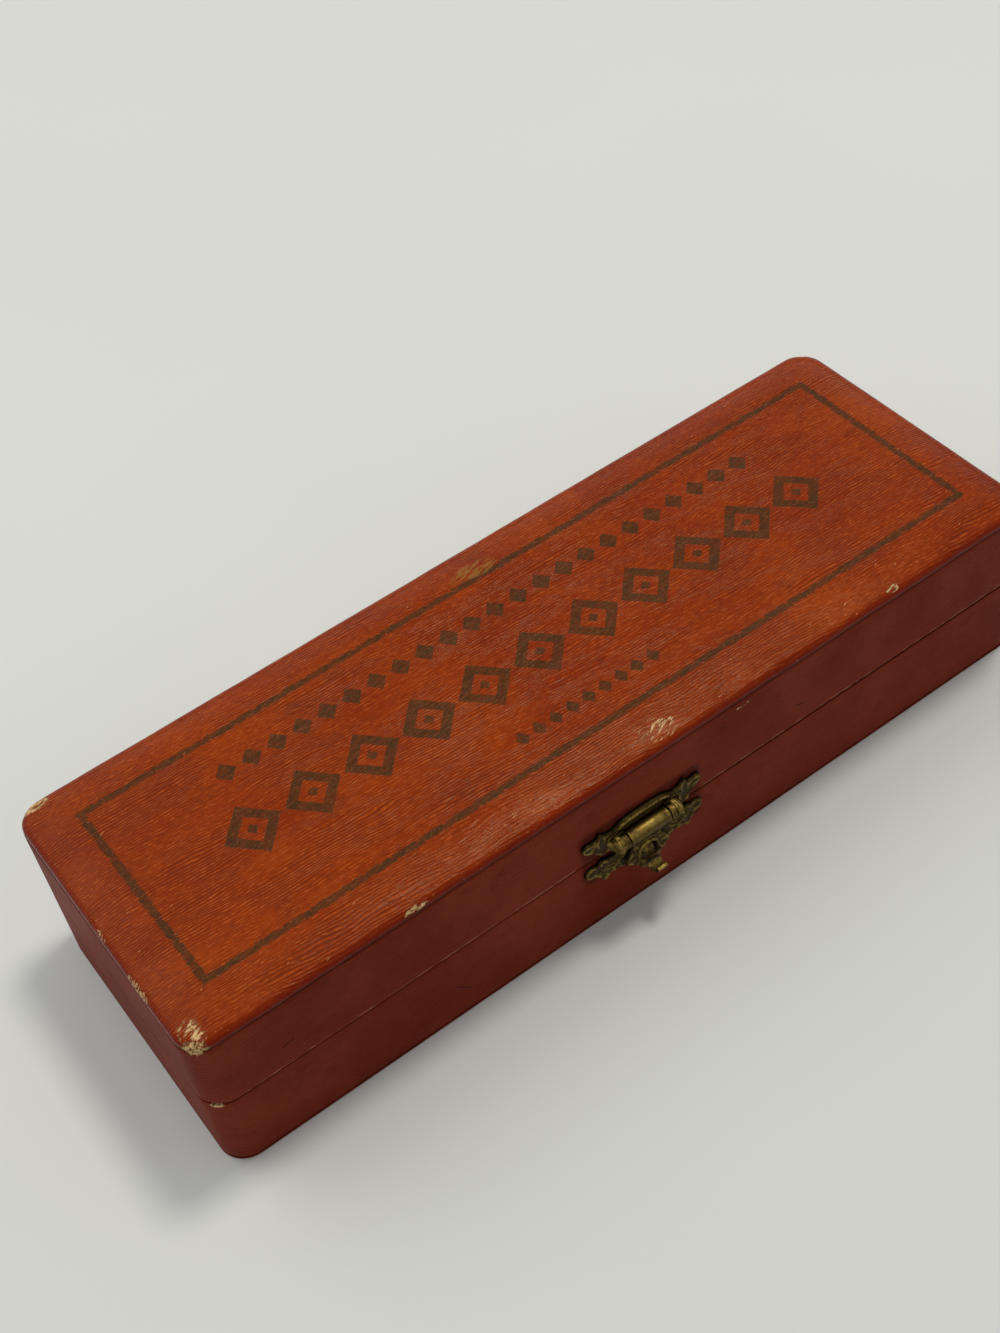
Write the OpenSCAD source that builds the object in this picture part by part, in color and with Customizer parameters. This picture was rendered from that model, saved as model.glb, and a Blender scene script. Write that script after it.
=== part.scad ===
/* [Case] */
// Length of the closed case, left to right
case_length = 160; // [130:1:200]
// Width of the closed case, front to back
case_width = 55; // [46:1:72]
// Height of the base, from the table to its rim
base_height = 15.9; // [13:0.1:24]
// Height of the lid, from its rim to the middle of its top
lid_height = 16.9; // [13:0.1:24]
// Gap between the two rims of the closed case
seam_gap = 0.2; // [0.1:0.05:0.5]
// Radius of the four upright corners
corner_radius = 4.5; // [3:0.5:8]

/* [Wood and covering] */
// Thickness of the wooden side walls
wall = 4; // [3.2:0.1:5.5]
// Thickness of the bottom board
bottom_thickness = 2; // [1.5:0.1:4]
// Thickness of the top board at its edge, under the rolled edge
top_edge_thickness = 1.3; // [1:0.1:2.5]
// Thickness of the paper covering
cover = 0.4; // [0.3:0.05:0.8]
// Thickness of the lining cloth
lining = 0.5; // [0.3:0.1:1]
// How far the lining stops short of the rim
lining_drop = 1; // [0.5:0.1:3]

/* [Domed top] */
// How far the rolled edge and the sloping margin rise above the side
top_rise = 2.2; // [1:0.1:4]
// Width of the tight roll at the edge of the top
roll_width = 1.8; // [1:0.1:3]
// Share of the rise that the roll takes
roll_share = 0.62; // [0.4:0.02:0.8]
// Width of the sloping margin, from the side to the flat top
margin_width = 8; // [5:0.5:12]

/* [Pads] */
// Thickness of the pad in the base at its crown
base_pad_height = 3.4; // [2:0.1:5]
// Thickness of the pad in the lid at its crown
lid_pad_height = 2.6; // [1.5:0.1:4]
// How much lower a pad is at its edge than at its crown
pad_crown = 1; // [0.4:0.1:1.4]
// How far the side of a pad draws in at top and bottom
pad_draw = 0.8; // [0.4:0.1:1.2]
// Gap between a pad and the lining round it
pad_gap = 0.5; // [0.3:0.1:1]

/* [Latch] */
// How far the latch stands right of the middle
latch_x = -2.4; // [-20:0.1:20]
// Thickness of the latch's sheet brass
latch_sheet = 0.5; // [0.4:0.05:0.7]
// Half length of the latch's two ornamental plates
plate_reach = 11.6; // [10.5:0.1:15]
// Length of the hasp's rolled barrel
barrel_length = 7.7; // [6:0.1:9]
// Length of each knuckle on the upper plate
latch_knuckle = 1.7; // [1.2:0.1:2.5]
// Height of the latch pin above the seam
latch_pin_rise = 2.1; // [1.9:0.1:3.5]
// Radius of the barrel and of the knuckles beside it
barrel_radius = 1.3; // [1.1:0.05:1.6]
// Radius of the latch pin
latch_pin_radius = 0.55; // [0.4:0.05:0.65]
// How far the hasp reaches down from its pin
hasp_drop = 8.8; // [8:0.1:10]
// Half width of the hasp at its widest
hasp_half = 4.2; // [3.6:0.1:5]
// Height of the catch's boss below the latch pin
boss_drop = 6; // [5.4:0.1:6.4]
// Radius of the boss
boss_radius = 1.15; // [0.9:0.05:1.3]
// How far the boss stands out of its plate
boss_height = 1.15; // [0.9:0.05:1.3]
// Reach of the thumb tab in front of the hasp
tab_reach = 2.2; // [1.2:0.1:3]

/* [Hinges] */
// Distance of each hinge from the middle of the case
hinge_spread = 48; // [20:1:52]
// Width of each hinge, along the case
hinge_width = 16; // [12:0.5:24]
// Height of each hinge leaf on its wall
leaf_height = 8; // [6:0.5:10]
// Thickness of a hinge leaf
leaf = 0.5; // [0.4:0.05:0.8]
// Radius of the hinge knuckles
knuckle_radius = 1.1; // [1:0.05:1.6]
// Radius of the hinge pins
hinge_pin_radius = 0.5; // [0.4:0.05:0.6]
// Gap between neighbouring knuckles
knuckle_gap = 0.2; // [0.1:0.05:0.4]

/* [Nails and fits] */
// Radius of a nail's head
nail_head = 0.75; // [0.6:0.05:1]
// Height of a nail's head
nail_head_height = 0.35; // [0.2:0.05:0.5]
// Radius of a nail's shank
nail_shank = 0.32; // [0.25:0.01:0.4]
// Length of a nail's shank
nail_length = 3; // [2:0.1:3.6]
// Radial clearance of a pin in its bore
pin_fit = 0.05; // [0.02:0.01:0.08]
// Radial clearance of a nail in its hole
nail_fit = 0.02; // [0.01:0.01:0.05]
// Clearance between a turning barrel and the surface behind it
swing_gap = 0.35; // [0.3:0.05:0.6]

/* [Hidden] */
$fn = 48;

// Levels of the case
half_length = case_length / 2;
half_width = case_width / 2;
rim = base_height;
lid_rim = rim + seam_gap;
case_height = lid_rim + lid_height;
crease = case_height - top_rise;
board_under = crease - top_edge_thickness;
floor_top = cover + bottom_thickness;

// Distances in from the outer faces
shell_in = cover + wall;
room_in = shell_in + lining;

// Points along one rounded corner of a lofted ring, and the least corner radius
corner_steps = 7;
least_radius = 0.8;
// Rings in the tight roll and in the sloping margin of the top
roll_steps = 5;
margin_steps = 5;

// Pin of the latch, and the plane that the hasp hangs in
latch_y = -half_width - swing_gap - barrel_radius;
latch_z = rim + seam_gap / 2 + latch_pin_rise;
plate_front = half_width + latch_sheet;
hasp_back = plate_front + swing_gap;
hasp_front = hasp_back + latch_sheet;
boss_z = latch_z - boss_drop;
boss_slot = boss_radius + swing_gap;
tab_back = plate_front + boss_height + swing_gap;
tab_width = 2.4;
side_gap = 0.15;

// Axis of the hinges
hinge_y = half_width + swing_gap + knuckle_radius;
hinge_z = rim + seam_gap / 2;
middle_knuckle = hinge_width / 3;
side_knuckle = (hinge_width - middle_knuckle) / 2 - knuckle_gap;
leaf_nail_x = hinge_width / 2 - 2.6;
leaf_nail_drop = leaf_height - 2.2;
plate_nail_x = plate_reach - 1.1;
upper_nail_rise = 1.9;
lower_nail_drop = 4.4;

// Colours of the finishes
cloth_red = [0.5, 0.16, 0.07];
dark_red = [0.36, 0.13, 0.07];
raw_wood = [0.78, 0.62, 0.42];
velvet = [0.32, 0.05, 0.09];
old_brass = [0.42, 0.33, 0.14];
steel = [0.5, 0.48, 0.44];

// Rounded rectangle of the case's outline, drawn in by a distance
module outline(inset) {
    radius = max(corner_radius - inset, least_radius);
    long = half_length - inset;
    wide = half_width - inset;
    union() {
        square([2 * (long - radius), 2 * wide], center = true);
        square([2 * long, 2 * (wide - radius)], center = true);
        for (x = [-1, 1])
            for (y = [-1, 1])
                translate([x * (long - radius), y * (wide - radius)])
                    circle(r = radius);
    }
}

module prism(inset, low, high) {
    translate([0, 0, low])
        linear_extrude(height = high - low)
            outline(inset);
}

// Cylinder along the case's length, between two places
module rod(radius, from, to) {
    translate([from, 0, 0])
        rotate([0, 90, 0])
            cylinder(r = radius, h = to - from);
}

// One ring of a loft: the outline at an inset, at one height
function ring(long, wide, radius, z) = [
    for (quarter = [0:3])
        for (step = [0:corner_steps])
            let (
                angle = 90 * (quarter + step / corner_steps),
                side_x = (quarter == 0 || quarter == 3) ? 1 : -1,
                side_y = (quarter < 2) ? 1 : -1
            )
            [side_x * (long - radius) + radius * cos(angle),
             side_y * (wide - radius) + radius * sin(angle), z]
];

function case_ring(inset, z) =
    ring(half_length - inset, half_width - inset, max(corner_radius - inset, least_radius), z);

// Closed solid through a list of rings with equal point counts
module loft(rings) {
    count = len(rings[0]);
    last = len(rings) - 1;
    points = [for (r = rings) each r];
    sides = [
        for (r = [0:last - 1])
            for (i = [0:count - 1])
                let (
                    a = r * count + i,
                    b = r * count + (i + 1) % count
                )
                each [[a, a + count, b], [b, a + count, b + count]]
    ];
    start_cap = [[for (i = [0:count - 1]) i]];
    end_cap = [[for (i = [count - 1:-1:0]) last * count + i]];
    polyhedron(points = points, faces = concat(start_cap, sides, end_cap));
}

// Profile of the top: a quarter-round roll, then a margin that eases into the flat
function roll_profile() = [
    for (s = [0:roll_steps])
        let (angle = 90 * s / roll_steps)
        [roll_width * (1 - cos(angle)), crease + top_rise * roll_share * sin(angle)]
];

function margin_profile() = [
    for (s = [1:margin_steps])
        let (part = s / margin_steps)
        [roll_width + (margin_width - roll_width) * part,
         crease + top_rise * (roll_share + (1 - roll_share) * (1 - pow(1 - part, 2)))]
];

function top_profile() = concat(roll_profile(), margin_profile());

// The two halves' walls: a ring of wood, cut into four boards with butt joints
module wall_ring(low, high) {
    difference() {
        prism(cover, low, high);
        prism(shell_in, low - 1, high + 1);
    }
}

module long_wall(side, low, high) {
    intersection() {
        wall_ring(low, high);
        translate([-half_length, side > 0 ? half_width - shell_in : -half_width, low])
            cube([case_length, shell_in, high - low]);
    }
}

module end_wall(side, low, high) {
    long = shell_in;
    intersection() {
        wall_ring(low, high);
        translate([side > 0 ? half_length - long : -half_length, shell_in - half_width, low])
            cube([long, case_width - 2 * shell_in, high - low]);
    }
}

// Places of the nails: [x, height] on the front, then on the back
function upper_plate_nails() = [
    for (s = [-1, 1]) [latch_x + s * plate_nail_x, latch_z + upper_nail_rise]
];

function catch_nails() = [
    for (s = [-1, 1]) [latch_x + s * plate_nail_x, latch_z - lower_nail_drop]
];

function leaf_nails(level) = [
    for (h = [-1, 1])
        for (s = [-1, 1])
            [h * hinge_spread + s * leaf_nail_x, hinge_z + level * leaf_nail_drop]
];

// Shanks for nails, or the holes that they sit in; facing is -1 on the front and 1 on the back
module shanks(places, facing, sheet, clearance) {
    depth = nail_length + clearance;
    for (place = places)
        translate([place[0], facing * (half_width + sheet), place[1]])
            rotate([facing * 90, 0, 0])
                cylinder(r = nail_shank + clearance, h = depth);
}

module nails(places, facing, sheet) {
    head_radius = (pow(nail_head, 2) + pow(nail_head_height, 2)) / (2 * nail_head_height);
    shanks(places, facing, sheet, 0);
    for (place = places)
        translate([place[0], facing * (half_width + sheet), place[1]])
            rotate([-facing * 90, 0, 0])
                rotate_extrude()
                    intersection() {
                        translate([0, nail_head_height - head_radius])
                            circle(r = head_radius, $fn = 96);
                        square([nail_head, nail_head_height]);
                    }
}

module base_front_wall() {
    color(raw_wood)
        difference() {
            long_wall(-1, floor_top, rim - cover);
            shanks(catch_nails(), -1, latch_sheet, nail_fit);
        }
}

module base_back_wall() {
    color(raw_wood)
        difference() {
            long_wall(1, floor_top, rim - cover);
            shanks(leaf_nails(-1), 1, leaf, nail_fit);
        }
}

module base_left_wall() {
    color(raw_wood)
        end_wall(-1, floor_top, rim - cover);
}

module base_right_wall() {
    color(raw_wood)
        end_wall(1, floor_top, rim - cover);
}

module bottom_board() {
    color(raw_wood)
        prism(cover, cover, floor_top);
}

module bottom_cover() {
    color(dark_red)
        prism(0, 0, cover);
}

// Wraps the sides and folds over the rim
module base_cover() {
    color(dark_red)
        difference() {
            prism(0, cover, rim);
            prism(cover, 0, rim - cover);
            prism(shell_in, rim - 2 * cover, rim + cover);
            shanks(catch_nails(), -1, latch_sheet, nail_fit);
            shanks(leaf_nails(-1), 1, leaf, nail_fit);
        }
}

module base_lining() {
    color(velvet)
        difference() {
            prism(shell_in, floor_top, rim - lining_drop);
            prism(room_in, floor_top + lining, rim);
        }
}

// A pad with drawn-in sides and a crown, lying on one level and rising to another
module pad(base_level, crown_level) {
    rise = crown_level - base_level;
    facing = sign(rise);
    tall = abs(rise);
    edge = tall - pad_crown;
    inset = room_in + pad_gap;
    profile = [
        [pad_draw, 0], [pad_draw * 0.3, edge * 0.2], [0, edge * 0.5], [pad_draw * 0.3, edge * 0.85],
        [pad_draw, edge], [pad_draw * 3, edge + pad_crown * 0.45], [pad_draw * 6, edge + pad_crown * 0.75],
        [pad_draw * 10, edge + pad_crown * 0.93], [pad_draw * 15, tall]
    ];
    translate([0, 0, base_level])
        mirror([0, 0, facing < 0 ? 1 : 0])
            loft([for (p = profile) case_ring(inset + p[0], p[1])]);
}

module base_pad() {
    color(velvet)
        pad(floor_top + lining, floor_top + lining + base_pad_height);
}

// Half of an ornamental plate: a straight bar, a leaf that points away and a rounded tip
module plate_wing(leaf_tip, waist) {
    tip = 1.25;
    polygon([[3, waist], [6.2, waist + 0.1], [7.6, waist - 0.2], [plate_reach - tip, waist + 0.6],
             [plate_reach - tip, waist + 2.9], [8.9, waist + 2.8], [8.2, leaf_tip],
             [7.2, waist + 3], [5.6, waist + 2.7], [3, waist + 2.7]]);
    translate([plate_reach - tip, waist + 1.75])
        circle(r = tip);
}

// Upper plate, seen from the front, with the pin of the hasp at the origin
module upper_plate_outline() {
    notch = barrel_length / 2 + side_gap;
    arch = 9;
    difference() {
        union() {
            for (s = [0, 1])
                mirror([s, 0])
                    plate_wing(3.9, 0.1);
            intersection() {
                translate([0, 3.9 - arch])
                    circle(r = arch, $fn = 96);
                translate([-notch - latch_knuckle, 0])
                    square([2 * (notch + latch_knuckle), 4]);
            }
        }
        translate([-notch, -2])
            square([2 * notch, 2 + barrel_radius + swing_gap]);
    }
}

// Lays an outline drawn on x and height flat on the front, between two depths
module on_front(near, far) {
    translate([latch_x, -near, latch_z])
        rotate([90, 0, 0])
            linear_extrude(height = far - near)
                children();
}

// One knuckle of the upper plate: a rolled tongue round the pin
module latch_knuckle_part(s) {
    from = s > 0 ? barrel_length / 2 + side_gap : -barrel_length / 2 - side_gap - latch_knuckle;
    translate([latch_x, latch_y, latch_z])
        rod(barrel_radius, from, from + latch_knuckle);
    translate([latch_x + from, -plate_front, latch_z - barrel_radius * 0.6])
        cube([latch_knuckle, latch_sheet, barrel_radius * 1.6]);
}

module hasp_plate() {
    color(old_brass)
        difference() {
            union() {
                on_front(half_width, plate_front)
                    upper_plate_outline();
                for (s = [-1, 1])
                    latch_knuckle_part(s);
            }
            translate([latch_x, latch_y, latch_z])
                rod(latch_pin_radius + pin_fit, -plate_reach, plate_reach);
            shanks(upper_plate_nails(), -1, latch_sheet, nail_fit);
        }
}

module hasp_plate_nails() {
    color(old_brass)
        nails(upper_plate_nails(), -1, latch_sheet);
}

module hasp_pin() {
    reach = barrel_length / 2 + side_gap + latch_knuckle + 0.1;
    color(steel)
        translate([latch_x, latch_y, latch_z])
            rod(latch_pin_radius, -reach, reach);
}

// Lower plate, with its top edge just under the seam
module catch_outline() {
    top = -latch_pin_rise - 0.6;
    low = -boss_drop - 1.4;
    for (s = [0, 1])
        mirror([s, 0]) {
            polygon([[0, top - 0.6], [3.4, top - 0.6], [5.4, top - 1.3], [7.2, top - 0.7], [8.2, top],
                     [9.2, top - 0.7], [plate_reach - 1.25, top - 0.5], [plate_reach - 1.25, top - 3],
                     [9, top - 3.6], [8.2, low - 0.1], [6.6, low + 0.9], [3.6, low], [2.4, low - 0.4],
                     [0, low - 0.4]]);
            translate([plate_reach - 1.25, top - 1.75])
                circle(r = 1.25);
        }
}

module catch_plate() {
    dome = boss_radius;
    color(old_brass)
        difference() {
            union() {
                on_front(half_width, plate_front)
                    catch_outline();
                translate([latch_x, -plate_front, boss_z])
                    rotate([90, 0, 0])
                        rotate_extrude()
                            intersection() {
                                translate([0, boss_height - dome])
                                    circle(r = dome);
                                translate([0, -latch_sheet / 2])
                                    square([dome, boss_height + latch_sheet / 2]);
                            }
            }
            shanks(catch_nails(), -1, latch_sheet, nail_fit);
        }
}

module catch_plate_nails() {
    color(old_brass)
        nails(catch_nails(), -1, latch_sheet);
}

// The hasp's flat part: a neck under the barrel and a rounded shield round the boss
module hasp_outline() {
    shield = -boss_drop;
    difference() {
        union() {
            polygon([[-barrel_length / 2, 0], [barrel_length / 2, 0], [barrel_length / 2, -2],
                     [2.6, -3.4], [2.9, -4.4], [hasp_half, shield - 0.1], [hasp_half - 0.6, shield - 1],
                     [1.9, 0.3 - hasp_drop], [-1.9, 0.3 - hasp_drop], [0.6 - hasp_half, shield - 1],
                     [-hasp_half, shield - 0.1], [-2.9, -4.4], [-2.6, -3.4], [-barrel_length / 2, -2]]);
            translate([0, shield])
                circle(r = 2.9);
        }
        translate([0, shield])
            circle(r = boss_slot);
        translate([-boss_slot, -2 * hasp_drop])
            square([2 * boss_slot, 2 * hasp_drop + shield]);
    }
}

// A raised lip that bridges the open slot in front of the boss, curled out for the thumb
module thumb_tab() {
    lip = 1.5;
    curl = 1.1;
    low = latch_z - hasp_drop;
    translate([latch_x - tab_width, -tab_back - latch_sheet, low])
        cube([2 * tab_width, latch_sheet, lip]);
    for (s = [-1, 1])
        translate([latch_x + s * (tab_width + boss_slot) / 2 - (tab_width - boss_slot) / 2,
                   -tab_back - latch_sheet / 2, low])
            cube([tab_width - boss_slot, tab_back + latch_sheet / 2 - hasp_back, lip]);
    translate([latch_x - tab_width / 2, -tab_back - tab_reach, low])
        cube([tab_width, tab_reach, latch_sheet]);
    translate([latch_x, -tab_back - tab_reach, low + curl])
        difference() {
            rod(curl, -tab_width / 2, tab_width / 2);
            rod(curl - latch_sheet, -tab_width, tab_width);
            translate([-tab_width, 0, -2 * curl])
                cube([2 * tab_width, 2 * curl, 4 * curl]);
            translate([-tab_width, -2 * curl, 0])
                cube([2 * tab_width, 4 * curl, 2 * curl]);
        }
}

module hasp() {
    color(old_brass)
        difference() {
            union() {
                on_front(hasp_back, hasp_front)
                    hasp_outline();
                translate([latch_x, latch_y, latch_z])
                    rod(barrel_radius, -barrel_length / 2, barrel_length / 2);
                thumb_tab();
            }
            translate([latch_x, latch_y, latch_z])
                rod(latch_pin_radius + pin_fit, -barrel_length, barrel_length);
        }
}

// A leaf on the back wall; level is -1 on the base and 1 on the lid
module leaf_plate(x, level) {
    near = knuckle_radius + knuckle_gap;
    low = level > 0 ? hinge_z + near : hinge_z - leaf_height;
    translate([x - hinge_width / 2, half_width, low])
        cube([hinge_width, leaf, leaf_height - near]);
}

// A knuckle round the hinge pin, with the tongue that joins it to its leaf
module knuckle(x, level, from, to) {
    near = knuckle_radius + knuckle_gap;
    translate([x, hinge_y, hinge_z])
        rod(knuckle_radius, from, to);
    translate([x + from, half_width, level > 0 ? hinge_z : hinge_z - near])
        cube([to - from, hinge_y - half_width - knuckle_radius * 0.5, near]);
}

module hinge_bore(x) {
    translate([x, hinge_y, hinge_z])
        rod(hinge_pin_radius + pin_fit, -hinge_width, hinge_width);
}

module base_leaf(x) {
    start = middle_knuckle / 2 + knuckle_gap;
    color(old_brass)
        difference() {
            union() {
                leaf_plate(x, -1);
                knuckle(x, -1, start, start + side_knuckle);
                knuckle(x, -1, -start - side_knuckle, -start);
            }
            hinge_bore(x);
            shanks(leaf_nails(-1), 1, leaf, nail_fit);
        }
}

module lid_leaf(x) {
    color(old_brass)
        difference() {
            union() {
                leaf_plate(x, 1);
                knuckle(x, 1, -middle_knuckle / 2, middle_knuckle / 2);
            }
            hinge_bore(x);
            shanks(leaf_nails(1), 1, leaf, nail_fit);
        }
}

module hinge_pin(x) {
    reach = hinge_width / 2 + 0.1;
    color(steel)
        translate([x, hinge_y, hinge_z])
            rod(hinge_pin_radius, -reach, reach);
}

module hinge_base_leaf_left() {
    base_leaf(-hinge_spread);
}

module hinge_base_leaf_right() {
    base_leaf(hinge_spread);
}

module hinge_lid_leaf_left() {
    lid_leaf(-hinge_spread);
}

module hinge_lid_leaf_right() {
    lid_leaf(hinge_spread);
}

module hinge_pin_left() {
    hinge_pin(-hinge_spread);
}

module hinge_pin_right() {
    hinge_pin(hinge_spread);
}

module base_hinge_nails() {
    color(old_brass)
        nails(leaf_nails(-1), 1, leaf);
}

module lid_hinge_nails() {
    color(old_brass)
        nails(leaf_nails(1), 1, leaf);
}

module lid_front_wall() {
    color(raw_wood)
        difference() {
            long_wall(-1, lid_rim + cover, board_under);
            shanks(upper_plate_nails(), -1, latch_sheet, nail_fit);
        }
}

module lid_back_wall() {
    color(raw_wood)
        difference() {
            long_wall(1, lid_rim + cover, board_under);
            shanks(leaf_nails(1), 1, leaf, nail_fit);
        }
}

module lid_left_wall() {
    color(raw_wood)
        end_wall(-1, lid_rim + cover, board_under);
}

module lid_right_wall() {
    color(raw_wood)
        end_wall(1, lid_rim + cover, board_under);
}

module lid_board() {
    color(raw_wood)
        loft(concat([case_ring(cover, board_under)],
                    [for (p = top_profile()) case_ring(p[0] + cover, p[1] - cover)]));
}

// Sheet over the domed top, ending at the crease
module lid_top_cover() {
    profile = top_profile();
    last = len(profile) - 1;
    color(cloth_red)
        loft(concat([for (i = [last:-1:0]) case_ring(profile[i][0] + cover, profile[i][1] - cover)],
                    [case_ring(0, crease - cover)],
                    [for (p = profile) case_ring(p[0], p[1])]));
}

// Wraps the lid's sides and folds under its rim
module lid_side_cover() {
    color(dark_red)
        difference() {
            prism(0, lid_rim, crease - cover);
            prism(cover, lid_rim + cover, crease);
            prism(shell_in, lid_rim - cover, lid_rim + 2 * cover);
            shanks(upper_plate_nails(), -1, latch_sheet, nail_fit);
            shanks(leaf_nails(1), 1, leaf, nail_fit);
        }
}

module lid_lining() {
    color(velvet)
        difference() {
            prism(shell_in, lid_rim + lining_drop, board_under);
            prism(room_in, lid_rim, board_under - lining);
        }
}

module lid_pad() {
    color(velvet)
        pad(board_under - lining, board_under - lining - lid_pad_height);
}

base_front_wall();
base_back_wall();
base_left_wall();
base_right_wall();
bottom_board();
bottom_cover();
base_cover();
base_lining();
base_pad();
catch_plate();
catch_plate_nails();
hinge_base_leaf_left();
hinge_base_leaf_right();
hinge_pin_left();
hinge_pin_right();
base_hinge_nails();
lid_front_wall();
lid_back_wall();
lid_left_wall();
lid_right_wall();
lid_board();
lid_top_cover();
lid_side_cover();
lid_lining();
lid_pad();
hasp_plate();
hasp_plate_nails();
hasp_pin();
hinge_lid_leaf_left();
hinge_lid_leaf_right();
lid_hinge_nails();
hasp();
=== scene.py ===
import bmesh
import bpy
import math
from mathutils import Matrix, Vector, noise
from mathutils.bvhtree import BVHTree
from mathutils.kdtree import KDTree


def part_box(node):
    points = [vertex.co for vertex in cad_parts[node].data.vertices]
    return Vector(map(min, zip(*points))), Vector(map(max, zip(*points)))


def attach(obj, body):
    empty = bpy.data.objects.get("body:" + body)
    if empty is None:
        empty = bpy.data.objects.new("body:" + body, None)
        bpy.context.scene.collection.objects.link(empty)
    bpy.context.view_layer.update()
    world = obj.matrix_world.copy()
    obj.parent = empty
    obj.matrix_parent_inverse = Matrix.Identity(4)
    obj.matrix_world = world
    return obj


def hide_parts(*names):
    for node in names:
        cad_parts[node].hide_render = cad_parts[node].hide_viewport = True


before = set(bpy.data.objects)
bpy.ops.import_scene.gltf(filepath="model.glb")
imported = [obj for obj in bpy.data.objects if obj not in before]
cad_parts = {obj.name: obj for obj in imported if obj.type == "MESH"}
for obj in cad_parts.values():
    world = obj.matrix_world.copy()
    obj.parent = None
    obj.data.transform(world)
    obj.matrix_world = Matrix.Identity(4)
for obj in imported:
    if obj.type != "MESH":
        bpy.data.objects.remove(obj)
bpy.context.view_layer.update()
scene = bpy.context.scene
mm = 0.001
print("frame loaded")


# Places that everything is worked out from, read from the frame
sideLow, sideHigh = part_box("lid_side_cover")
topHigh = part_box("lid_top_cover")[1]
baseLow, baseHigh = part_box("base_cover")
barLow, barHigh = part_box("hasp_pin")
halfLength = sideHigh.x
halfWidth = sideHigh.y
lidRim = sideLow.z
coverThickness = baseLow.z
crease = sideHigh.z + coverThickness
baseRim = baseHigh.z
latchX, latchY, latchZ = ((a + b) / 2 for a, b in zip(barLow, barHigh))


# A socket that can be used in sums, and the graph that it belongs to
class Wire:
    def __init__(self, graph, socket):
        self.graph = graph
        self.socket = socket

    def maths(self, operation, *others):
        sockets = dict(enumerate((self, *others)))
        return self.graph.add("Math", {"operation": operation}, sockets)

    def __add__(self, other):
        return self.maths("ADD", other)

    __radd__ = __add__

    def __sub__(self, other):
        return self.maths("SUBTRACT", other)

    def __rsub__(self, other):
        return self.graph.add("Math", {"operation": "SUBTRACT"}, {0: other, 1: self})

    def __mul__(self, other):
        return self.maths("MULTIPLY", other)

    __rmul__ = __mul__

    def __truediv__(self, other):
        return self.maths("DIVIDE", other)

    def __abs__(self):
        return self.maths("ABSOLUTE")

    def rise(self, low, high):  # 0 below low, 1 above high, smooth between
        settings = {"interpolation_type": "SMOOTHSTEP"}
        return self.graph.add("MapRange", settings, {0: self, 1: low, 2: high, 3: 0.0, 4: 1.0})

    def fall(self, low, high):
        return 1 - self.rise(low, high)

    def most(self, other):
        return self.maths("MAXIMUM", other)

    def repeat(self, pitch):  # distance from the middle of the nearest of a row of places
        return (self + pitch / 2).maths("FLOORED_MODULO", pitch) - pitch / 2


# The nodes of a material or the world, built with expressions
class Graph:
    def __init__(self, owner):
        owner.use_nodes = True
        self.tree = owner.node_tree

    def add(self, kind, settings=None, sockets=None, out=0):
        node = self.tree.nodes.new("ShaderNode" + kind)
        for key, value in (settings or {}).items():
            setattr(node, key, value)
        for key, value in (sockets or {}).items():
            if isinstance(value, Wire):
                self.tree.links.new(value.socket, node.inputs[key])
            else:
                node.inputs[key].default_value = value
        return Wire(self, node.outputs[out])

    # Shows the plain shader by its share where the camera looks, also by mirrors and glass
    def show(self, lit, plain, share, output):
        kinds = ("Is Camera Ray", "Is Glossy Ray", "Is Transmission Ray")
        rays = [self.add("LightPath", out=kind) for kind in kinds]
        seen = rays[0].most(rays[1]).most(rays[2])
        both = self.add("MixShader", {}, {0: seen * share, 1: Wire(self, lit.outputs[0]), 2: plain})
        self.tree.links.new(both.socket, self.tree.nodes[output].inputs[0])


# One material, coloured in coats
class Finish(Graph):
    def __init__(self, name, shaderValues):
        self.material = bpy.data.materials.new(name)
        super().__init__(self.material)
        self.shader = self.tree.nodes["Principled BSDF"]
        for key, value in shaderValues.items():
            self.shader.inputs[key].default_value = value

    def places(self):  # the three object coordinates, in millimetres
        whole = self.add("TexCoord", out="Object")
        scaled = self.add("VectorMath", {"operation": "SCALE"}, {0: whole, "Scale": 1 / mm})
        return scaled, [self.add("SeparateXYZ", {}, {0: scaled}, out=i) for i in range(3)]

    def grains(self, where, scale, detail, rough, twist=0.0):
        sockets = {
            "Vector": where, "Scale": scale, "Detail": detail,
            "Roughness": rough, "Distortion": twist,
        }
        return self.add("TexNoise", {}, sockets)

    def streaks(self, x, y, z, detail, rough):  # grains drawn out along an axis
        where = self.add("CombineXYZ", {}, {0: x, 1: y, 2: z})
        return self.grains(where, 1.0, detail, rough)

    def mix(self, share, first, second):
        sockets = {0: share, 6: first, 7: second}
        return self.add("Mix", {"data_type": "RGBA"}, sockets, out=2)

    def coat(self, share, tone):  # the next colour, over those that are there
        self.colour = self.mix(share, self.colour, tone)

    def plug(self, name, wire):
        self.tree.links.new(wire.socket, self.shader.inputs[name])

    def done(self, rough, height, distance, strength):
        sockets = {"Height": height, "Distance": distance * mm, "Strength": strength}
        self.plug("Base Color", self.colour)
        self.plug("Roughness", rough)
        self.plug("Normal", self.add("Bump", {}, sockets))
        return self.material


def ink(red, green, blue):  # a colour as it looks on a screen, 0 to 255, made linear
    parts = [c / 255 for c in (red, green, blue)]
    linear = [c / 12.92 if c <= 0.04045 else ((c + 0.055) / 1.055) ** 2.4 for c in parts]
    return (*linear, 1.0)


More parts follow.
